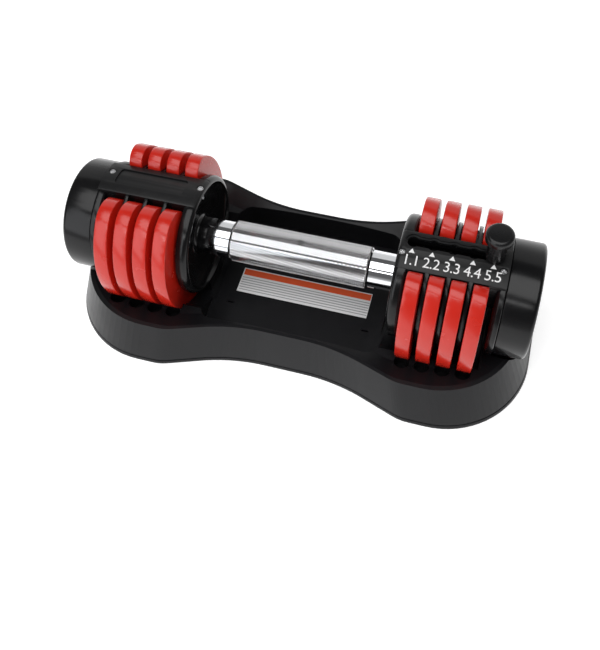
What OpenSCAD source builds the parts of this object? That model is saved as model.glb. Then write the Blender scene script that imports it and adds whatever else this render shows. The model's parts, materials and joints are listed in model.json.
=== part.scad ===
// Adjustable dumbbell with a sliding selector, resting in its storage tray.
// Millimetres. X runs along the handle, +Y is the back, +Z is up, and the tray stands on Z = 0.
// The left housing is the right housing turned half a turn about Z, so both use the same modules.

/* [Plates] */
// radius of a weight plate
plate_r = 57.7; // [50:0.1:66]
// thickness of a weight plate
plate_t = 9.9; // [6:0.1:12]
// distance from one plate to the next
plate_pitch = 14.4; // [12:0.1:17]
// rounding of the plate's lobe in front of the bridge, on the right
lobe_front_r = 10.5; // [4:0.5:12]
// rounding of the plate's lobe behind the bridge, on the right
lobe_back_r = 17; // [8:0.5:19]

/* [Handle] */
// length of the chrome handle tube
grip_len = 139; // [110:1:170]
// height of the knurl over the smooth ends
knurl_h = 1.5; // [0.3:0.1:3]
// length of the knurled grip
knurl_len = 104; // [70:1:130]
// diameter of the smooth ends
smooth_d = 27.4; // [25.6:0.2:30]

/* [Housings] */
// radius of the inner flange, the dividers and the bridge cover
flange_r = 44.4; // [40:0.1:50]
// radius of the round end cap
cap_r = 41; // [34:0.1:42]
// length of the round end cap
cap_w = 22.6; // [14:0.1:30]
// front edge of the bridge, from the handle's axis
bridge_front = 20; // [16:0.5:24]
// back edge of the bridge, from the handle's axis
bridge_back = 8; // [7:0.5:14]
// running clearance of the sliding parts
run = 0.08; // [0.02:0.01:0.1]

/* [Selector] */
// radius of the selector rods
rod_r = 4.5; // [3.5:0.1:5]
// distance between two selector positions
detent_pitch = 13.5; // [12.6:0.1:14.4]
// diameter of the selector knob
knob_d = 18.8; // [13:0.2:20]
// height of the selector knob over the bridge
knob_h = 26.2; // [16:0.2:30]

/* [Tray] */
// how far the tray reaches past each end cap
tray_past_end = 8.4; // [4:0.1:14]
// how far the tray reaches past the plates at the front and back
tray_past_side = 24.8; // [18:0.1:32]
// how much narrower the tray's waist is, on each side
waist_in = 18.2; // [10:0.1:22]
// height of the tray's rim over the surface it stands on
tray_rim = 39.2; // [30:0.2:46]
// wall thickness of the tray
tray_t = 2.6; // [2:0.1:3.5]

/* [Hidden] */
$fn = 96;
e = 0.01;
base_top = 3.6;
axis_h = plate_r + 5.8;
bore_r = smooth_d / 2 - 1.7;          // bore of the handle tube
knurl_d = smooth_d + 2 * knurl_h;
pitch_r = floor(bore_r - 5.9);        // pinion of module 1 that leaves room for both racks in the bore
pinion_teeth = 2 * pitch_r;
pin_r = pitch_r / 3;
x_face = grip_len / 2 + 1.7;          // rim of the inner flange
x_dish = x_face + 7;                  // floor of the bowl in the inner flange
x_fl = x_face + 9;                    // plate side of the inner flange
p1 = x_fl + 1.2;                      // inner face of the first plate
p_end = p1 + 3 * plate_pitch + plate_t;
x_of = p_end + 5.2;                   // plate side of the outer flange
x_cap = x_of + 5.8;                   // outer flange meets the end cap
x_end = x_cap + cap_w;
tray_len = 2 * (x_end + tray_past_end);
tray_w = 2 * (plate_r + tray_past_side);
label_hx = grip_len / 2 - 17.8;       // half length of the label on the tray's floor
of_r = cap_r + 1.2;
cover_t = 3;
beam_r = flange_r - cover_t;
tip_x = p_end + 0.4;                  // rod tip with every plate picked up
knob_x = tip_x - 0.6;
travel = 4 * detent_pitch;
slot_hw = 3.2;                        // half width of the selector slot in the cover
neck_hw = 2.4;                        // half width of the slot from the bridge down to the rod
stem_hw = 1.9;
chan_hw = 5.5;                        // half width of the carriage channel
chan_lo = rod_r + 15.5;
chan_hi = beam_r - 5.4;
u_floor = rod_r + 7.5;                // bottom of a plate's U slot, over the axis
divider_t = plate_pitch - plate_t - 2;
rack_back = pitch_r + 3.6;
bar_hz = 3;
hub_r = smooth_d / 2 - 0.4;
rim_r = 3.6;                          // rounding of the inner flange's rim
bowl_r = 22;                          // radius of the flat floor of the bowl
dish_r = plate_r - 3.4;
seat_gap = 0.4;
rim_scale = [0.923, 0.868];

black = [0.09, 0.09, 0.1];
steel = [0.7, 0.71, 0.73];
red = [0.8, 0.2, 0.15];

// ---- helpers ----
module along_x(x0, x1, r) { translate([x0, 0, 0]) rotate([0, 90, 0]) cylinder(r = r, h = x1 - x0); }
module block(x0, x1, y0, y1, z0, z1) { translate([x0, y0, z0]) cube([x1 - x0, y1 - y0, z1 - z0]); }
module on_axis() { translate([0, 0, axis_h]) children(); }
module left_side() { rotate([0, 0, 180]) children(); }
module both_sides() { children(); left_side() children(); }
// a ring or disc turned about the X axis: points are [x, radius]
module turned(points) { rotate([0, 90, 0]) rotate_extrude() polygon([for (p = points) [p[1], p[0]]]); }
function arc(cx, cy, r, a0, a1, n) = [for (i = [0 : n]) let (a = a0 + (a1 - a0) * i / n) [cx + r * cos(a), cy + r * sin(a)]];

// ---- tray ----
// quarter of the tray's plan: a rounded end that runs into a narrower waist
end_x = tray_len / 2;
end_y = tray_w / 2;
corner_r = 0.79 * end_y;
waist_r1 = 38;
waist_r2 = 149;
waist_a = 20;
quarter = concat(
    [[end_x, 0]],
    arc(end_x - corner_r, end_y - corner_r, corner_r, 0, 90, 18),
    arc(end_x * 0.56, end_y - waist_r1, waist_r1, 90, 90 + waist_a, 6),
    arc(end_x * 0.085, end_y - waist_in + waist_r2, waist_r2, waist_a - 90, -90, 8),
    [[0, end_y - waist_in]]);
module plan() {
    for (sx = [-1, 1], sy = [-1, 1]) scale([sx, sy])
        polygon(concat([[0, 0]], quarter));
}
module drafted(inset, z0, z1) {
    k0 = 1 - (1 - rim_scale[0]) * z0 / tray_rim;
    m0 = 1 - (1 - rim_scale[1]) * z0 / tray_rim;
    k1 = 1 - (1 - rim_scale[0]) * z1 / tray_rim;
    m1 = 1 - (1 - rim_scale[1]) * z1 / tray_rim;
    fx = 1 - inset / end_x;
    fy = 1 - inset / end_y;
    translate([0, 0, z0]) linear_extrude(z1 - z0, slices = 1, scale = [k1 / k0, m1 / m0])
        scale([k0 * fx, m0 * fy]) plan();
}
// everything that is open to the top of the tray, grown by g so that the same shape also makes the walls
module tray_hollows(g) {
    on_axis() both_sides() {
        along_x(x_face - 6 - g, x_of - 0.5 + g, dish_r + g);
        along_x(x_of - 1 - g, end_x + 2, of_r + 1.2 + g);
    }
    for (i = [0 : 3]) both_sides() {
        x0 = p1 + i * plate_pitch - 0.5;
        on_axis() along_x(x0 - g, x0 + plate_t + 1 + g, plate_r + seat_gap + g);
        for (s = [-1, 1]) translate([x0 + plate_t / 2 + 0.5, s * plate_r * 0.91, 21 - g])
            cylinder(r = plate_t / 2 + 0.5 + g, h = tray_rim);
    }
    translate([0, 0, 15 - g]) linear_extrude(tray_rim) floor_plan(g);
}
module floor_plan(g) {
    hw = grip_len / 2 - 2 + g;
    hd = (end_y - waist_in) * rim_scale[1] - 3.4 + g;
    r = 11;
    for (s = [-1, 1]) translate([0, s * (hd - r)]) square([2 * (hw - r), 2 * r], center = true);
    square([2 * hw, 2 * (hd - r)], center = true);
    for (sx = [-1, 1], sy = [-1, 1]) translate([sx * (hw - r), sy * (hd - r)]) circle(r = r);
}
// pads that carry the flanges of the dumbbell
module tray_pads() {
    both_sides() difference() {
        union() {
            block(x_face + 0.5, x_fl - 1, -16, 16, base_top, axis_h - flange_r + 10.9);
            block(x_of + 0.5, x_cap - 0.5, -14, 14, base_top, axis_h - of_r + 10.7);
        }
        on_axis() {
            along_x(x_face - 1, x_fl, flange_r + 0.3);
            along_x(x_of - 1, x_cap + 1, of_r + 0.3);
        }
    }
}
module sloped_top() {
    translate([0, 0, tray_rim - 6]) linear_extrude(6 + e, slices = 1, scale = [1.075, 1.30]) scale([0.845, 0.64]) plan();
}
feet_at = [[end_x - 42, end_y - 30], [end_x - 42, 30 - end_y], [42 - end_x, end_y - 30], [42 - end_x, 30 - end_y]];
screw_y = end_y - 25;
screws_at = [[45, screw_y], [45, -screw_y], [-45, screw_y], [-45, -screw_y], [end_x - 12, 0], [12 - end_x, 0]];
module tray_shell() color(black) {
    difference() {
        drafted(0, base_top, tray_rim);
        sloped_top();
        tray_hollows(0);
        difference() {
            drafted(tray_t + 0.6, base_top - e, tray_rim - 7);
            tray_hollows(tray_t);
            for (p = screws_at) translate([p[0], p[1], 0]) cylinder(r = 3.4, h = tray_rim);
        }
        for (p = screws_at) translate([p[0], p[1], 0]) cylinder(r = 1.4, h = 14, $fn = 48);
        for (s = [-1, 1]) translate([s * (label_hx + 1.3), 0, 0]) block(-2.6, 2.6, -25.5, -24.2, 8, 20);
        difference() {
            linear_extrude(base_top + 1) scale([1.1, 1.1]) square([tray_len, tray_w], center = true);
            drafted(0.9, 0, base_top + 1);
        }
    }
    tray_pads();
}
module tray_base() color(black) difference() {
    drafted(0, 0.8, base_top);
    for (p = feet_at) translate([p[0], p[1], 0]) cylinder(r = 7.1, h = 1.8);
    for (p = screws_at) translate([p[0], p[1], 0]) {
        cylinder(r = 1.7, h = 10, $fn = 48);
        cylinder(r = 3.3, h = 2.2, $fn = 48);
    }
}
module tray_feet() color([0.05, 0.05, 0.05]) for (p = feet_at) translate([p[0], p[1], 0]) cylinder(r = 7, h = 1.8);
module tray_screws() color(steel) for (p = screws_at) translate([p[0], p[1], 1]) difference() {
    union() {
        cylinder(r = 2.9, h = 1.2, $fn = 48);
        cylinder(r = 1.4, h = 10.6, $fn = 48);
    }
    for (a = [0, 90]) rotate([0, 0, a]) translate([-1.8, -0.3, -e]) cube([3.6, 0.6, 0.7]);
}
module tray_label() color([0.85, 0.85, 0.83]) block(-label_hx, label_hx, -14.2, 7.6, 15, 15.3);

// ---- housings ----
// the sector of the flange circle that the bridge fills, out to radius r
module bridge_sector(x0, x1, r, g, z0) {
    intersection() {
        along_x(x0, x1, r);
        block(x0 - 1, x1 + 1, -bridge_front - g, bridge_back + g, z0, r + 5);
    }
}
// rounded rim of the inner flange, from the grip side to its cylinder
rim_arc = [for (i = [0 : 6]) let (a = i * 15) [x_face + rim_r * (1 - cos(a)), flange_r - rim_r * (1 - sin(a))]];
bowl_arc = [for (i = [0 : 9]) let (a = i * 10)
    [x_face + (x_dish - x_face) * sin(a), bowl_r + (flange_r - rim_r - 0.2 - bowl_r) * cos(a)]];
hub_arc = [for (i = [0 : 5]) let (a = i * 18) [x_dish - 3 * (1 - cos(a)), hub_r + 3 * (1 - sin(a))]];
module housing() {
    r = flange_r;
    difference() {
        union() {
            turned(concat([for (i = [9 : -1 : 0]) bowl_arc[i]], rim_arc,
                [[x_fl - 2, r], [x_fl - 0.6, r - 0.6], [x_fl, r - 2], [x_fl, 0], [grip_len / 2, 0], [grip_len / 2, hub_r]],
                [for (i = [5 : -1 : 0]) hub_arc[i]]));
            turned([[x_of, 0], [x_of, of_r - 3], [x_of + 0.4, of_r - 1.5], [x_of + 1.5, of_r - 0.4], [x_of + 3, of_r],
                [x_cap - 0.5, of_r], [x_cap, of_r - 0.5], [x_cap, 0]]);
            for (i = [0 : 2]) {
                xc = p1 + plate_t + (plate_pitch - plate_t) / 2 + i * plate_pitch;
                along_x(xc - divider_t / 2, xc + divider_t / 2, flange_r);
            }
            bridge_sector(x_dish + 0.5, x_cap, beam_r, 0, u_floor + 1);
        }
        // seat of the bridge cover
        difference() {
            bridge_sector(x_face + 0.8, x_cap + 1, max(flange_r, of_r) + 3, 0.1, beam_r - 8);
            along_x(x_face, x_cap + 2, beam_r);
        }
    }
}
// channel of the carriage, with its slot, neck and detent grooves
module carriage_channel() {
    block(knob_x - travel - 1.6, knob_x + 4.5, -neck_hw, neck_hw, 0, chan_lo + 1);
    block(knob_x - travel - 5.6, knob_x + 5.6, -chan_hw, chan_hw, chan_lo, chan_hi);
    block(knob_x - travel - 4, knob_x + 4, -slot_hw - 1, slot_hw + 1, chan_hi - 1, flange_r + 5);
    for (i = [0 : 4]) translate([knob_x - i * detent_pitch, chan_hw, chan_lo]) cylinder(r = 0.9, h = 5, $fn = 48);
}
module housing_body(right) difference() {
    union() {
        housing();
        // boss that closes the grip end of the channel
        if (right) block(knob_x - travel - 6.7, x_dish + 1, -chan_hw - 1.6, chan_hw + 1.6, hub_r - 1, chan_hi + 2);
    }
    along_x(x_face - 3, tip_x + 3.5, rod_r + 0.5);
    if (right) carriage_channel();
    for (x = screw_x) translate([x, screw_dy, flange_r - 14]) cylinder(r = 1.3, h = 30, $fn = 48);
    for (a = [30 : 120 : 270]) rotate([a, 0, 0]) translate([0, 0, 28]) along_x(x_of + 1, x_cap + 1, 1.3);
}
module housing_right() color(black) on_axis() housing_body(true);
module housing_left() color(black) on_axis() left_side() housing_body(false);
screw_x = [x_face + 3.3, x_of + 1.8];
screw_dy = -9.3;
module cover_blank() {
    difference() {
        intersection() {
            bridge_sector(x_face + 0.9, x_cap - 0.1, flange_r, 0, u_floor);
            turned(concat([[x_face, 0]], rim_arc, [[x_cap, flange_r], [x_cap, 0]]));
        }
        along_x(x_face, x_cap + 1, beam_r);
        for (x = screw_x) translate([x, screw_dy, flange_r - 14]) {
            cylinder(r = 1.5, h = 30, $fn = 48);
            translate([0, 0, 11.4]) cylinder(r = 2.5, h = 10, $fn = 48);
        }
    }
}
module bridge_right() color(black) on_axis() difference() {
    cover_blank();
    block(knob_x - travel, knob_x, -slot_hw, slot_hw, beam_r - 5, flange_r + 5);
    block(knob_x - travel, knob_x, -4.4, 4.4, flange_r - 1.3, flange_r + 5);
    for (i = [0 : 4]) translate([knob_x - i * detent_pitch, 0, 0]) {
        translate([0, 0, beam_r - 5]) cylinder(r = 4.2, h = 20);
        translate([0, 0, flange_r - 1.3]) cylinder(r = 5.6, h = 20);
    }
}
module bridge_left() color(black) on_axis() left_side() difference() {
    cover_blank();
    difference() {
        translate([(x_face + x_cap) / 2 + 2, -6.8, beam_r - 10]) linear_extrude(20) {
            square([51, 10], center = true);
            square([46, 15], center = true);
            for (sx = [-1, 1], sy = [-1, 1]) translate([sx * 23, sy * 5]) circle(r = 2.5);
        }
        along_x(x_face, x_cap, flange_r - 1);
    }
}
module bridge_screws() color(steel) on_axis() both_sides() for (x = screw_x)
    translate([x, screw_dy, 0]) difference() {
        union() {
            translate([0, 0, flange_r - 2.6]) cylinder(r = 2.1, h = 1, $fn = 48);
            translate([0, 0, flange_r - 12]) cylinder(r = 1.3, h = 10, $fn = 48);
        }
        for (a = [0, 90]) rotate([0, 0, a]) translate([-1.3, -0.3, flange_r - 2.1]) cube([2.6, 0.6, 2]);
    }
module end_cap_body() {
    r = cap_r;
    difference() {
        turned(concat([[x_cap, 0], [x_cap, r - 0.8], [x_cap + 0.8, r]],
            [for (i = [0 : 6]) let (a = i * 15) [x_end - 3 + 3 * sin(a), r - 3 + 3 * cos(a)]], [[x_end, 0]]));
        along_x(x_end - 0.5, x_end + 1, 27.1);
        along_x(x_cap - 1, x_cap + 11.2, 33.1);
    }
}
module end_cap_right() color(black) on_axis() end_cap_body();
module end_cap_left() color(black) on_axis() left_side() end_cap_body();
// steel discs that bring the bare handle up to its marked weight
module end_weights() color(steel) on_axis() both_sides() difference() {
    along_x(x_cap, x_cap + 11, 33);
    for (a = [30 : 120 : 270]) rotate([a, 0, 0]) translate([0, 0, 28]) along_x(x_cap - 1, x_cap + 12, 1.5);
}
module cap_screws() color(steel) on_axis() both_sides() for (a = [30 : 120 : 270]) rotate([a, 0, 0])
    translate([0, 0, 28]) along_x(x_of + 2, x_cap + 10, 1.3);
module end_discs() color([0.8, 0.8, 0.82]) on_axis() both_sides() along_x(x_end - 0.5, x_end - 0.05, 27);

// ---- handle ----
module handle() color([0.85, 0.86, 0.88]) on_axis() difference() {
    union() {
        along_x(-grip_len / 2, grip_len / 2, smooth_d / 2);
        k = knurl_len / 2;
        d = (knurl_d - smooth_d) / 2;
        turned([[-k, 0], [-k, smooth_d / 2], [-k + d, knurl_d / 2], [k - d, knurl_d / 2], [k, smooth_d / 2], [k, 0]]);
    }
    along_x(-grip_len, grip_len, bore_r);
    cylinder(r = pin_r, h = 60, center = true, $fn = 48);
}
module rod_bush() difference() {
    along_x(grip_len / 2 - 10, grip_len / 2, bore_r);
    along_x(0, grip_len, rod_r + run);
    block(grip_len / 2 - 20, grip_len / 2 + 1, -rack_back - 0.35, rack_back + 0.35, -bar_hz - 0.3, bar_hz + 0.3);
}
module rod_bushes() color([0.85, 0.85, 0.8]) on_axis() both_sides() rod_bush();
module pinion_pin() color(steel) on_axis() {
    cylinder(r = pin_r, h = knurl_d - 0.5, center = true, $fn = 48);
}
// teeth are slim, so that the racks and the pinion run free of each other
module tooth2d() polygon([[-1.02, 0], [1.02, 0], [0.62, 1.15], [0.28, 2.05], [-0.28, 2.05], [-0.62, 1.15]]);
module pinion() color([0.75, 0.62, 0.35]) on_axis() difference() {
    union() {
        cylinder(r = pitch_r - 1.2, h = 5, center = true);
        for (i = [0 : pinion_teeth - 1]) rotate([0, 0, (i + 0.5) * 360 / pinion_teeth])
            translate([0, pitch_r - 1.25, -2.5]) linear_extrude(5) tooth2d();
    }
    cylinder(r = pin_r + run, h = 10, center = true, $fn = 48);
}
// ---- selector rods ----
rack_in = -6;
rack_out = grip_len / 2;
module rod_body() {
    along_x(grip_len / 2 - 6, tip_x - 1, rod_r);
    translate([tip_x - 1, 0, 0]) rotate([0, 90, 0]) cylinder(r1 = rod_r, r2 = rod_r - 1, h = 1);
    block(rack_in, rack_out, pitch_r + 1.3, rack_back, -bar_hz, bar_hz);
    block(grip_len / 2 - 6, rack_out, 0, rack_back, -bar_hz, bar_hz);
    for (i = [-2 : floor((rack_out - 8) / PI)]) if (i * PI > rack_in + 1)
        translate([i * PI, pitch_r + 1.35, -bar_hz]) rotate([0, 0, 180]) linear_extrude(2 * bar_hz) tooth2d();
}
module rod_right() color(steel) on_axis() rod_body();
module rod_left() color(steel) on_axis() left_side() rod_body();
// slider that joins the knob to the right rod
cav_lo = chan_lo + 4;                 // cavity of the knob's spring
cav_hi = chan_hi - 2.4;
ball_z = chan_lo + 2;
module carriage() color([0.2, 0.2, 0.22]) on_axis() difference() {
    union() {
        block(knob_x - 5, knob_x + 5, 0.3 - chan_hw, chan_hw - 0.3, chan_lo + 0.3, cav_hi);
        block(knob_x - 1.2, knob_x + 1.2, -stem_hw, stem_hw, rod_r - 0.6, chan_lo + 1);
    }
    along_x(knob_x - 9, knob_x + 9, rod_r);
    translate([knob_x, 0, cav_lo]) cylinder(r = 3.9, h = 30, $fn = 48);
    translate([knob_x, chan_hw, ball_z]) rotate([90, 0, 0]) cylinder(r = 1.33, h = 3.6, $fn = 48);
}
module carriage_cap() color([0.2, 0.2, 0.22]) on_axis() difference() {
    block(knob_x - 5, knob_x + 5, 0.3 - chan_hw, chan_hw - 0.3, cav_hi, chan_hi - 0.3);
    translate([knob_x, 0, 0]) cylinder(r = 2.5 + run, h = 60, $fn = 48);
}
module detent_ball() color(steel) on_axis() translate([knob_x, chan_hw - 1.35, ball_z]) sphere(r = 1.25);
module detent_spring() color(steel) on_axis() translate([knob_x, chan_hw - 2.65, ball_z]) rotate([90, 0, 0])
    difference() {
        cylinder(r = 1.1, h = 0.9, $fn = 48);
        cylinder(r = 0.6, h = 3, center = true, $fn = 48);
    }
// ---- knob ----
knob_z = flange_r + 0.4;
module knob() color([0.12, 0.12, 0.13]) on_axis() translate([knob_x, 0, 0]) difference() {
    r = knob_d / 2;
    top = flange_r + knob_h;
    rotate_extrude() polygon(concat(
        [[0, knob_z], [6, knob_z], [6.6, knob_z + 0.6], [6.3, top - 9], [6.7, top - 8]],
        [for (i = [0 : 4]) let (a = -90 + i * 22.5) [r - 2 + 2 * cos(a), top - 5.4 + 2 * sin(a)]],
        [for (i = [0 : 5]) let (a = i * 18) [r - 2.8 + 2.8 * cos(a), top - 2.8 + 2.8 * sin(a)]],
        [[0, top]]));
    translate([0, 0, knob_z - 1]) cylinder(r = 2.5, h = 12, $fn = 48);
}
module knob_stem() color(steel) on_axis() translate([knob_x, 0, cav_lo + 0.1]) {
    cylinder(r = 2.5, h = knob_z - cav_lo + 10.9, $fn = 48);
    cylinder(r = 3.7, h = 1.2, $fn = 48);
}
module knob_spring() color(steel) on_axis() translate([knob_x, 0, cav_lo + 1.4]) difference() {
    cylinder(r = 3.6, h = cav_hi - cav_lo - 1.5, $fn = 48);
    translate([0, 0, -1]) cylinder(r = 2.9, h = 30, $fn = 48);
}
// ---- weight plates ----
// a disc with a U slot for the bridge, and a keyhole for the rod and the carriage's stem
module plate2d() difference() {
    circle(r = plate_r, $fn = 128);
    translate([-bridge_front - 0.6, u_floor]) square([bridge_front + bridge_back + 1.2, plate_r]);
    translate([-neck_hw, 0]) square([2 * neck_hw, u_floor + 1]);
    circle(r = rod_r + 0.8);
    lobe_cut(-bridge_front - 0.6, -1, lobe_front_r);
    lobe_cut(bridge_back + 0.6, 1, lobe_back_r);
}
// rounds a lobe's inner top corner: y is the slot wall and s points away from the slot
module lobe_cut(y, s, lr) {
    cy = y + s * lr;
    h = sqrt((plate_r - lr) * (plate_r - lr) - cy * cy);
    difference() {
        translate([min(y - s * 0.1, cy), h]) square([lr + 0.1, plate_r]);
        translate([cy, h]) circle(r = lr);
    }
    difference() {
        translate([min(cy, cy * plate_r / (plate_r - lr)), h]) square([abs(cy) * (plate_r / (plate_r - lr) - 1) + e, plate_r]);
        translate([cy, h]) circle(r = lr);
        polygon([[0, 0], [cy * 2, h * 2], [s * 200, 0]]);
    }
}
module plate(i) on_axis() translate([p1 + i * plate_pitch, 0, 0]) rotate([90, 0, 90]) linear_extrude(plate_t) plate2d();
module plate_r1() color(red) plate(0);
module plate_r2() color(red) plate(1);
module plate_r3() color(red) plate(2);
module plate_r4() color(red) plate(3);
module plate_l1() color(red) left_side() plate(0);
module plate_l2() color(red) left_side() plate(1);
module plate_l3() color(red) left_side() plate(2);
module plate_l4() color(red) left_side() plate(3);

tray_shell();
tray_base();
tray_feet();
tray_screws();
tray_label();
housing_right();
housing_left();
bridge_right();
bridge_left();
bridge_screws();
end_cap_right();
end_cap_left();
end_weights();
cap_screws();
end_discs();
handle();
rod_bushes();
pinion_pin();
pinion();
rod_right();
carriage();
carriage_cap();
detent_ball();
detent_spring();
rod_left();
knob();
knob_stem();
knob_spring();
plate_r1();
plate_r2();
plate_r3();
plate_r4();
plate_l1();
plate_l2();
plate_l3();
plate_l4();
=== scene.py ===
"""Looks of the adjustable dumbbell in its tray: fine shapes, materials, light and camera."""

import json
import math

import bmesh
import bpy
from mathutils import Matrix, Vector


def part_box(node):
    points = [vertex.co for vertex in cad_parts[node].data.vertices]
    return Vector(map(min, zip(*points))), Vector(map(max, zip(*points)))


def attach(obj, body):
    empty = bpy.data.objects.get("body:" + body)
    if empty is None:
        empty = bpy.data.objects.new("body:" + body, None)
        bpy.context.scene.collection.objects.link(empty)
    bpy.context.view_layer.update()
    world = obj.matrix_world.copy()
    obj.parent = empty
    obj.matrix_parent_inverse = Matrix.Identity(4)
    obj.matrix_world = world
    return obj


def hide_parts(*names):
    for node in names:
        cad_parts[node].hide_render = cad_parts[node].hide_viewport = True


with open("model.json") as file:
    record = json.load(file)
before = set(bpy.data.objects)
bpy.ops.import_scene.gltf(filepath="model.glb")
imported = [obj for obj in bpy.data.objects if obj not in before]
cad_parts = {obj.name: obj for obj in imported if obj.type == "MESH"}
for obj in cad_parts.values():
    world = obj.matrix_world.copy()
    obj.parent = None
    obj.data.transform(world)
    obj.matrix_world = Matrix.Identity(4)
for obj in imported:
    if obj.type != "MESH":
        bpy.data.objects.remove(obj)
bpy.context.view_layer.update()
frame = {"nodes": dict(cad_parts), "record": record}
NODES = frame["nodes"]
BODY = {n: b for b, members in frame["record"]["behaviour"]["bodies"].items() for n in members}
MM = 0.001
AXIS_Z = sum(c.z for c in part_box("rod_right")) / 2


# ---- node helpers ----
def new_material(name):
    mat = bpy.data.materials.new(name)
    mat.use_nodes = True
    return mat, mat.node_tree.nodes, mat.node_tree.links, mat.node_tree.nodes["Principled BSDF"]


def ramp(nodes, links, source, stops, sharp=False):
    """Colours by place along a value; sharp ones change at once."""
    node = nodes.new("ShaderNodeValToRGB")
    node.color_ramp.interpolation = "CONSTANT" if sharp else "LINEAR"
    elements = node.color_ramp.elements
    while len(elements) < len(stops):
        elements.new(0.5)
    for element, (place, color) in zip(elements, stops):
        element.position = place
        element.color = (*color, 1)
    links.new(source, node.inputs["Fac"])
    return node.outputs["Color"]


def spread(nodes, links, source, low, high, src_low=0.3, src_high=0.7):
    node = nodes.new("ShaderNodeMapRange")
    for key, value in (("From Min", src_low), ("From Max", src_high), ("To Min", low), ("To Max", high)):
        node.inputs[key].default_value = value
    links.new(source, node.inputs["Value"])
    return node.outputs["Result"]


def noise(nodes, links, vector, scale, detail=3.0):
    node = nodes.new("ShaderNodeTexNoise")
    node.inputs["Scale"].default_value = scale
    node.inputs["Detail"].default_value = detail
    links.new(vector, node.inputs["Vector"])
    return node.outputs["Fac"]


def bump(nodes, links, height, strength, distance, normal=None):
    node = nodes.new("ShaderNodeBump")
    node.inputs["Strength"].default_value = strength
    node.inputs["Distance"].default_value = distance
    links.new(height, node.inputs["Height"])
    if normal is not None:
        links.new(normal, node.inputs["Normal"])
    return node.outputs["Normal"]


CHROME = {"dark": (0.8, 0.81, 0.83), "light": (0.88, 0.89, 0.91), "rough": (0.06, 0.1), "metallic": 1.0,
          "grain": (900.0, 0.02, 0.00003)}


def surface(name, dark, light, rough, metallic=0.0, coat=0.0, coat_rough=0.1, specular=0.5,
            mottle=9.0, grain=(900.0, 0.1, 0.0001), wave=None):
    """A finish with clouded colour and roughness, and a fine grain in its bump.

    rough is (low, high), grain is (scale, strength, metres), and wave, of the same form as
    grain, adds a slow unevenness.
    """
    fineness = 11
    mat, nodes, links, shader = new_material(name)
    place = nodes.new("ShaderNodeTexCoord").outputs["Object"]
    cloud = noise(nodes, links, place, mottle, 4.0)
    links.new(ramp(nodes, links, cloud, [(0.3, dark), (0.7, light)]), shader.inputs["Base Color"])
    fine = noise(nodes, links, place, mottle * fineness, 5.0)
    links.new(spread(nodes, links, fine, *rough), shader.inputs["Roughness"])
    normal = None
    if wave:
        normal = bump(nodes, links, noise(nodes, links, place, wave[0], 2.0), wave[1], wave[2])
    normal = bump(nodes, links, noise(nodes, links, place, grain[0], 2.0), grain[1], grain[2], normal)
    links.new(normal, shader.inputs["Normal"])
    shader.inputs["Metallic"].default_value = metallic
    shader.inputs["Coat Weight"].default_value = coat
    shader.inputs["Coat Roughness"].default_value = coat_rough
    shader.inputs["Specular IOR Level"].default_value = specular
    return mat


MATS = {
    "tray_black": surface("tray_black", (0.0065, 0.0065, 0.0075), (0.0085, 0.0085, 0.0098), (0.28, 0.36),
                          specular=0.2, grain=(1800.0, 0.16, 0.00008)),
    "housing_black": surface("housing_black", (0.0045, 0.0045, 0.005), (0.006, 0.006, 0.0065), (0.16, 0.22),
                             specular=0.3, grain=(1500.0, 0.03, 0.00002)),
    "cover_black": surface("cover_black", (0.0065, 0.0065, 0.007), (0.0085, 0.0085, 0.009), (0.34, 0.42),
                           specular=0.3, grain=(1700.0, 0.12, 0.00007)),
    "plate_red": surface("plate_red", (0.56, 0.016, 0.007), (0.6, 0.019, 0.009), (0.2, 0.28), coat=0.12,
                         coat_rough=0.1, grain=(700.0, 0.05, 0.00008), wave=(60.0, 0.06, 0.0002)),
    "handle_chrome": surface("handle_chrome", **CHROME),
    "steel": surface("steel", (0.66, 0.66, 0.67), (0.78, 0.78, 0.79), (0.22, 0.32), metallic=1.0,
                     grain=(1400.0, 0.08, 0.00005)),
    "pinion_brass": surface("pinion_brass", (0.62, 0.45, 0.2), (0.7, 0.52, 0.25), (0.25, 0.36),
                            metallic=1.0),
    "foot_rubber": surface("foot_rubber", (0.012, 0.012, 0.012), (0.02, 0.02, 0.02), (0.75, 0.9),
                           specular=0.3, grain=(1100.0, 0.4, 0.0002)),
    "nylon": surface("nylon", (0.62, 0.61, 0.57), (0.7, 0.69, 0.65), (0.4, 0.5)),
    "carriage_black": surface("carriage_black", (0.006, 0.006, 0.0065), (0.008, 0.008, 0.0085), (0.4, 0.5),
                              specular=0.3),
    "knob_black": surface("knob_black", (0.0055, 0.0055, 0.006), (0.0075, 0.0075, 0.008), (0.22, 0.3),
                          specular=0.35, grain=(1500.0, 0.08, 0.00006)),
    "disc_silver": surface("disc_silver", (0.6, 0.61, 0.62), (0.7, 0.71, 0.72), (0.28, 0.36), metallic=1.0),
    "print_white": surface("print_white", (0.8, 0.8, 0.8), (0.86, 0.86, 0.86), (0.45, 0.55),
                           grain=(1500.0, 0.1, 0.00005)),
}


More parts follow.
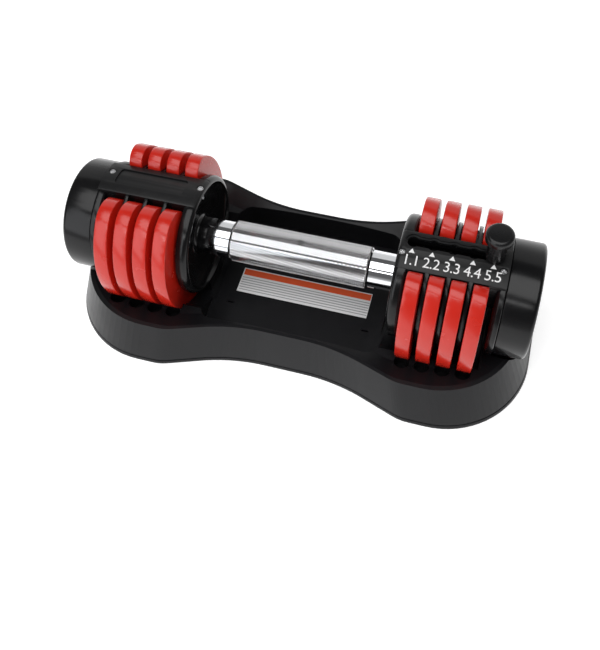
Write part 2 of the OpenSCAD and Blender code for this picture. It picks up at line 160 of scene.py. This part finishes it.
def label_material():
    """A plain care label: a bordered pale field with an orange head band and thin ruled lines."""
    mat, nodes, links, shader = new_material("label")
    place = nodes.new("ShaderNodeTexCoord").outputs["Object"]
    split = nodes.new("ShaderNodeSeparateXYZ")
    links.new(place, split.inputs["Vector"])
    low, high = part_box("tray_label")
    border = 0.8 * MM
    along = spread(nodes, links, split.outputs["X"], 0, 1, low.x, high.x)
    across = spread(nodes, links, split.outputs["Y"], 0, 1, low.y, high.y)
    edge_x, edge_y = border / (high.x - low.x), border / (high.y - low.y)
    orange, pale, grey, black = (0.78, 0.09, 0.012), (0.8, 0.8, 0.8), (0.34, 0.34, 0.35), (0, 0, 0)
    head, rows, first, pitch, thick = 0.71, 6, 0.09, 0.1, 0.035
    stops = [(0, pale)]
    for i in range(rows):
        line = first + i * pitch
        stops += [(line, grey), (line + thick, pale)]
    stops += [(head, orange), (1 - edge_y, pale)]
    field = ramp(nodes, links, across, stops, sharp=True)
    white = (1, 1, 1)
    inside = ramp(nodes, links, along, [(0, black), (edge_x, white), (1 - edge_x, black)], sharp=True)
    mix = nodes.new("ShaderNodeMix")
    mix.data_type = "RGBA"
    links.new(inside, mix.inputs["Factor"])
    mix.inputs["A"].default_value = (*pale, 1)
    links.new(field, mix.inputs["B"])
    links.new(mix.outputs["Result"], shader.inputs["Base Color"])
    fine = noise(nodes, links, place, 180.0)
    links.new(spread(nodes, links, fine, 0.35, 0.5), shader.inputs["Roughness"])
    return mat


def knurl_material():
    """Chrome with painted shade in the grooves of the knurl: darker there, found by the distance from the
    axis.
    """
    mat = surface("handle_knurl", **CHROME)
    nodes, links = mat.node_tree.nodes, mat.node_tree.links
    shader = nodes["Principled BSDF"]
    low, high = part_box("handle")
    top, reach = (high.z - low.z) / 2, 0.3 * MM
    offset = nodes.new("ShaderNodeVectorMath")
    offset.operation = "SUBTRACT"
    links.new(nodes.new("ShaderNodeTexCoord").outputs["Object"], offset.inputs[0])
    offset.inputs[1].default_value = (low + high) / 2
    flat = nodes.new("ShaderNodeVectorMath")
    flat.operation = "MULTIPLY"
    links.new(offset.outputs["Vector"], flat.inputs[0])
    flat.inputs[1].default_value = (0, 1, 1)
    length = nodes.new("ShaderNodeVectorMath")
    length.operation = "LENGTH"
    links.new(flat.outputs["Vector"], length.inputs[0])
    depth = spread(nodes, links, length.outputs["Value"], 0, 1, top - reach, top)
    clear, dark = (0, 0, 0), (1, 1, 1)
    # painted shade: the mask of the grooves, where the chrome's colour is darkened to stand in for their
    # shadow
    painted_groove_shade = ramp(nodes, links, depth,
                  [(0, clear), (0.2, clear), (0.3, dark), (0.8, dark), (0.96, clear)])
    mix = nodes.new("ShaderNodeMix")
    mix.data_type = "RGBA"
    links.new(painted_groove_shade, mix.inputs["Factor"])
    links.new(shader.inputs["Base Color"].links[0].from_socket, mix.inputs["A"])
    # the colour of the painted groove shade
    mix.inputs["B"].default_value = (0.2, 0.19, 0.19, 1)
    links.new(mix.outputs["Result"], shader.inputs["Base Color"])
    return mat


MATS["label"] = label_material()
MATS["handle_knurl"] = knurl_material()


# ---- mesh helpers ----
def linked(name, data):
    """A new object that holds the data, in the scene."""
    obj = bpy.data.objects.new(name, data)
    bpy.context.scene.collection.objects.link(obj)
    return obj


def from_bmesh(name, bm):
    mesh = bpy.data.meshes.new(name)
    bm.to_mesh(mesh)
    bm.free()
    return linked(name, mesh)


def evaluated_mesh(obj):
    bpy.context.view_layer.update()
    return bpy.data.meshes.new_from_object(obj.evaluated_get(bpy.context.evaluated_depsgraph_get()))


def settle(obj):
    """Applies the modifiers, so that the mesh itself is final."""
    made = evaluated_mesh(obj)
    obj.modifiers.clear()
    obj.data = made


def finish_piece(obj, body, slot, *replaced, mat=None):
    """Gives a piece the material of its slot, or the one given, puts it in its body, and hides the nodes it
    stands in for.
    """
    obj.data.materials.clear()
    obj.data.materials.append(MATS[mat or slot])
    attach(obj, body)
    if replaced:
        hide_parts(*replaced)


def clean_copy(node):
    """The node's surface as n-gons: split corners joined, and triangles in one plane joined."""
    weld, flat = 2e-6, math.radians(0.6)
    bm = bmesh.new()
    bm.from_mesh(NODES[node].data)
    bmesh.ops.remove_doubles(bm, verts=bm.verts, dist=weld)
    bmesh.ops.dissolve_limit(bm, angle_limit=flat, verts=bm.verts, edges=bm.edges)
    return bm


def refined(node, slot, width):
    """The node with its edges rounded by a width in millimetres, standing in for the node."""
    obj = from_bmesh(node + "_fine", clean_copy(node))
    obj.data.shade_smooth()
    bevel = obj.modifiers.new("edges", "BEVEL")
    bevel.width = width * MM
    bevel.segments = 3
    bevel.limit_method = "ANGLE"
    bevel.angle_limit = math.radians(30)
    bevel.harden_normals = True
    bevel.miter_outer = "MITER_ARC"
    settle(obj)
    finish_piece(obj, BODY[node], slot, node)


SLOT = {s["node"]: s["material_slot"] for s in frame["record"]["subparts"]}
EDGES = {
    "tray_base": 0.5, "housing_right": 0.35, "housing_left": 0.35, "bridge_right": 0.4, "bridge_left": 0.4,
    "end_cap_right": 0.5, "end_cap_left": 0.5, "end_discs": 0.15, "bridge_screws": 0.15, "knob": 0.25,
    "plate_r1": 0.7, "plate_r2": 0.7, "plate_r3": 0.7, "plate_r4": 0.7,
    "plate_l1": 0.7, "plate_l2": 0.7, "plate_l3": 0.7, "plate_l4": 0.7,
}
for node_name, edge_width in EDGES.items():
    refined(node_name, SLOT[node_name], edge_width)


# ---- knurled handle ----
HANDLE_LOW, HANDLE_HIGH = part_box("handle")
KNURL_R = (HANDLE_HIGH.z - HANDLE_LOW.z) / 2
KNURL_COLUMNS, KNURL_ROWS = 144, 34             # half diamonds around, and rows on each side of x = 0
KNURL_DEPTH, KNURL_LAND = 0.22 * MM, 0.6        # groove depth, and the flat part of a diamond
KNURL_END, KNURL_CHAMFER = 52 * MM, 1.4 * MM
ROW = (KNURL_END - KNURL_CHAMFER) / KNURL_ROWS


def handle_vert(bm, x, turn, radius):
    """A vertex around the handle's axis; turn counts in columns of the knurl."""
    centre = (HANDLE_LOW + HANDLE_HIGH) / 2
    angle = 2 * math.pi * turn / KNURL_COLUMNS
    return bm.verts.new((x, centre.y + radius * math.sin(angle), centre.z + radius * math.cos(angle)))


def join_rings(bm, a, b):
    for i in range(KNURL_COLUMNS):
        n = (i + 1) % KNURL_COLUMNS
        bm.faces.new((a[i], b[i], b[n], a[n]))


def knurl_grid(bm):
    """Rows of vertices: low at the corners of the diamonds, and high along the two ends.

    The middles of the other diamonds stay empty, because a flat top takes their place.
    """
    def knurl_vert(i, j):
        if (i + j) % 2:
            return handle_vert(bm, j * ROW, i, KNURL_R - KNURL_DEPTH)
        return handle_vert(bm, j * ROW, i, KNURL_R) if abs(j) == KNURL_ROWS else None

    return {j: [knurl_vert(i, j) for i in range(KNURL_COLUMNS)]
            for j in range(-KNURL_ROWS, KNURL_ROWS + 1)}


def diamond(bm, i, j, corners):
    """A flat top at column i and row j, and the four slopes from it to the corners."""
    around = ((-1, 0), (0, -1), (1, 0), (0, 1))
    flat = [handle_vert(bm, (j + s * KNURL_LAND) * ROW, i + t * KNURL_LAND, KNURL_R)
            for t, s in around]
    bm.faces.new(flat)
    for k in range(4):
        n = (k + 1) % 4
        bm.faces.new((corners[k], corners[n], flat[n], flat[k]))


def knurl_faces(bm, grid):
    for j in range(-KNURL_ROWS, KNURL_ROWS + 1):
        for i in range(j % 2, KNURL_COLUMNS, 2):
            west, east = grid[j][i - 1], grid[j][(i + 1) % KNURL_COLUMNS]
            if j == -KNURL_ROWS:
                bm.faces.new((grid[j][i], east, grid[j + 1][i]))
                bm.faces.new((grid[j][i], grid[j + 1][i], west))
            elif j == KNURL_ROWS:
                bm.faces.new((grid[j][i], grid[j - 1][i], east))
                bm.faces.new((grid[j][i], west, grid[j - 1][i]))
            else:
                diamond(bm, i, j, (west, grid[j - 1][i], east, grid[j + 1][i]))


def handle_ends(bm, grid):
    """The smooth tube on both sides of the knurl, its rounded-off rims and the bore."""
    smooth, bore, edge, end = 13.7 * MM, 12 * MM, 0.3 * MM, HANDLE_HIGH.x
    outline = ((KNURL_END, smooth), (end - edge, smooth), (end, smooth - edge), (end, bore))
    left, right = ([[handle_vert(bm, side * x, i, radius) for i in range(KNURL_COLUMNS)]
                    for x, radius in outline] for side in (-1, 1))
    join_rings(bm, left[0], grid[-KNURL_ROWS])
    join_rings(bm, grid[KNURL_ROWS], right[0])
    for rings in (left, right):
        for near, far in zip(rings, rings[1:]):
            join_rings(bm, near, far)
    join_rings(bm, left[-1], right[-1])


def drill_pin_hole(obj):
    """Cuts the hole for the pinion's pin, from top to bottom."""
    pin_low, pin_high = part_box("pinion_pin")
    radius = pin_high.x + 0.22 * MM
    cut = bmesh.new()
    bmesh.ops.create_cone(cut, cap_ends=True, segments=48, radius1=radius, radius2=radius,
                          depth=4 * KNURL_R, matrix=Matrix.Translation((pin_low + pin_high) / 2))
    cutter = from_bmesh("pin_cutter", cut)
    hole = obj.modifiers.new("hole", "BOOLEAN")
    hole.object = cutter
    hole.solver = "EXACT"
    settle(obj)
    bpy.data.objects.remove(cutter)


def knurled_handle():
    """The chrome tube with flat-topped diamonds between two sets of crossing grooves."""
    bm = bmesh.new()
    grid = knurl_grid(bm)
    knurl_faces(bm, grid)
    handle_ends(bm, grid)
    bmesh.ops.recalc_face_normals(bm, faces=bm.faces)
    obj = from_bmesh("handle_knurled", bm)
    drill_pin_hole(obj)
    facet_angle = 12
    obj.data.shade_smooth()
    obj.data.set_sharp_from_angle(angle=math.radians(facet_angle))
    finish_piece(obj, BODY["handle"], SLOT["handle"], "handle", mat="handle_knurl")


knurled_handle()


# ---- printed scale ----
PRINT_HALF = 0.05 * MM     # half the thickness of the print


def wrap_on_cover(obj, x, y):
    """Bends a flat print, drawn about (0, 0), around the cover's cylinder, centred at x and y."""
    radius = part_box("bridge_right")[1].z - AXIS_Z
    bm = bmesh.new()
    bm.from_mesh(obj.data)
    step, cuts, weld = 0.7 * MM, 8, 2e-7
    for k in range(-cuts, cuts + 1):
        whole = bm.verts[:] + bm.edges[:] + bm.faces[:]
        bmesh.ops.bisect_plane(bm, geom=whole, plane_co=(0, k * step, 0), plane_no=(0, 1, 0),
                               dist=1e-7)
    for v in bm.verts:
        angle = (y + v.co.y) / radius
        r = radius + v.co.z
        v.co = Vector((x + v.co.x, r * math.sin(angle), AXIS_Z + r * math.cos(angle)))
    bmesh.ops.remove_doubles(bm, verts=bm.verts, dist=weld)
    bm.to_mesh(obj.data)
    bm.free()


def digits(text, height, name):
    """A number in the built-in letter shapes, as a thin mesh about (0, 0)."""
    size_for_height = 1.38
    curve = bpy.data.curves.new(name, "FONT")
    curve.body = text
    curve.align_x, curve.align_y = "CENTER", "CENTER"
    curve.size = height * size_for_height
    curve.extrude = PRINT_HALF
    curve.resolution_u = 4
    curve.space_character = 0.95
    text_obj = linked(name, curve)
    mesh = evaluated_mesh(text_obj)
    bpy.data.objects.remove(text_obj)
    return linked(name, mesh)


def pointer(name, width, height):
    """A thin triangle that stands on (0, 0)."""
    bm = bmesh.new()
    outline = ((-width / 2, 0), (width / 2, 0), (0, height))
    face = bm.faces.new([bm.verts.new((x, y, -PRINT_HALF)) for x, y in outline])
    made = bmesh.ops.extrude_face_region(bm, geom=[face])
    for v in (g for g in made["geom"] if isinstance(g, bmesh.types.BMVert)):
        v.co.z += 2 * PRINT_HALF
    bmesh.ops.recalc_face_normals(bm, faces=bm.faces)
    return from_bmesh(name, bm)


def printed_scale():
    """A white pointer and a number at each stop of the selector."""
    low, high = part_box("knob")
    knob_x = (low.x + high.x) / 2
    joints = {j["name"]: j for j in frame["record"]["behaviour"]["joints"]}
    travel = -joints["select"]["range_m"][0]
    stops, offset = 5, 0.4 * MM
    mark_width, mark_height, mark_y = 4 * MM, 3.2 * MM, -9.3 * MM
    number_height, number_shift, number_y = 7.2 * MM, 0.8 * MM, -14.6 * MM
    for i in range(stops):
        x = knob_x - (stops - 1 - i) * travel / (stops - 1) + offset
        mark = pointer(f"pointer_{i + 1}", mark_width, mark_height)
        number = digits(f"{i + 1}.{i + 1}", number_height, f"number_{i + 1}")
        for piece, shift, y in ((mark, 0, mark_y), (number, number_shift, number_y)):
            wrap_on_cover(piece, x + shift, y)
            finish_piece(piece, BODY["bridge_right"], SLOT["bridge_right"], mat="print_white")


printed_scale()

for node_name, obj in NODES.items():
    if not obj.hide_render:
        obj.data.materials.clear()
        finish = "handle_chrome" if node_name == "pinion_pin" else SLOT[node_name]
        obj.data.materials.append(MATS[finish])


# ---- floor, light and camera ----
def stage_floor():
    half = 6
    mesh = bpy.data.meshes.new("floor")
    corners = [(-half, -half, 0), (half, -half, 0), (half, half, 0), (-half, half, 0)]
    mesh.from_pydata(corners, [], [(0, 1, 2, 3)])
    obj = linked("floor", mesh)
    mat, nodes, links, shader = new_material("floor")
    place = nodes.new("ShaderNodeTexCoord").outputs["Object"]
    cloud = noise(nodes, links, place, 3.0)
    links.new(ramp(nodes, links, cloud, [(0.3, (0.9, 0.9, 0.9)), (0.7, (0.92, 0.92, 0.92))]),
              shader.inputs["Base Color"])
    shader.inputs["Roughness"].default_value = 0.8
    shader.inputs["Specular IOR Level"].default_value = 0.1
    shader.inputs["Emission Color"].default_value = (1, 1, 1, 1)
    shader.inputs["Emission Strength"].default_value = 0.5
    obj.data.materials.append(mat)


def softbox(name, place, aim, size, power, color):
    data = bpy.data.lights.new(name, "AREA")
    data.shape = "RECTANGLE"
    data.size, data.size_y = size
    data.energy = power
    data.color = color
    obj = linked(name, data)
    obj.location = place
    obj.rotation_euler = (aim - place).to_track_quat("-Z", "Y").to_euler()


def direction(elevation, azimuth, distance):
    el, az = math.radians(elevation), math.radians(azimuth)
    return distance * Vector((math.cos(el) * math.cos(az), math.cos(el) * math.sin(az), math.sin(el)))


def studio():
    """Softboxes above and in front and a card behind, in a dim room lighter towards the horizon."""
    world = bpy.data.worlds.new("studio")
    world.use_nodes = True
    nodes, links = world.node_tree.nodes, world.node_tree.links
    split = nodes.new("ShaderNodeSeparateXYZ")
    links.new(nodes.new("ShaderNodeTexCoord").outputs["Generated"], split.inputs["Vector"])
    grey = [(0.0, 0.6), (0.12, 0.3), (0.3, 0.12), (1.0, 0.1)]
    links.new(ramp(nodes, links, split.outputs["Z"], [(p, (g, g, g)) for p, g in grey]),
              nodes["Background"].inputs["Color"])
    bpy.context.scene.world = world
    aim = Vector((0, 0, 0.06))
    for name, elevation, azimuth, distance, size, power, color in (
            ("top_box", 79, -93, 1.3, (1.6, 0.95), 12.5, (1, 1, 1)),
            ("left_box", 27, -122, 1.2, (0.68, 0.9), 4, (0.95, 0.97, 1)),
            ("front_strip", 46, -90, 1.2, (0.75, 0.12), 1.2, (1, 1, 1)),
            ("back_card", 24, 92, 1.5, (3.2, 1.6), 9, (1, 1, 1))):
        softbox(name, aim + direction(elevation, azimuth, distance), aim, size, power, color)


def camera():
    """Looks down at 58 degrees from in front and right of the middle, rolled a little."""
    eye = Vector((0.11916, -0.31020, 0.48988 + AXIS_Z))
    aim = Vector((0.01869, 0.0, AXIS_Z))
    roll = 0.0614
    forward = (aim - eye).normalized()
    right = forward.cross(Vector((0, 0, 1))).normalized()
    down = forward.cross(right)
    rolled_right = math.cos(roll) * right + math.sin(roll) * down
    rolled_down = -math.sin(roll) * right + math.cos(roll) * down
    turn = Matrix((rolled_right, -rolled_down, -forward)).transposed().to_4x4()
    data = bpy.data.cameras.new("camera")
    data.sensor_width = 36
    data.lens = 45.109
    data.shift_x, data.shift_y = -0.04092, -0.10123
    data.clip_start = 0.01
    obj = linked("camera", data)
    obj.matrix_world = Matrix.Translation(eye) @ turn
    bpy.context.scene.camera = obj


stage_floor()
studio()
camera()
bpy.context.scene.view_settings.view_transform = "Standard"
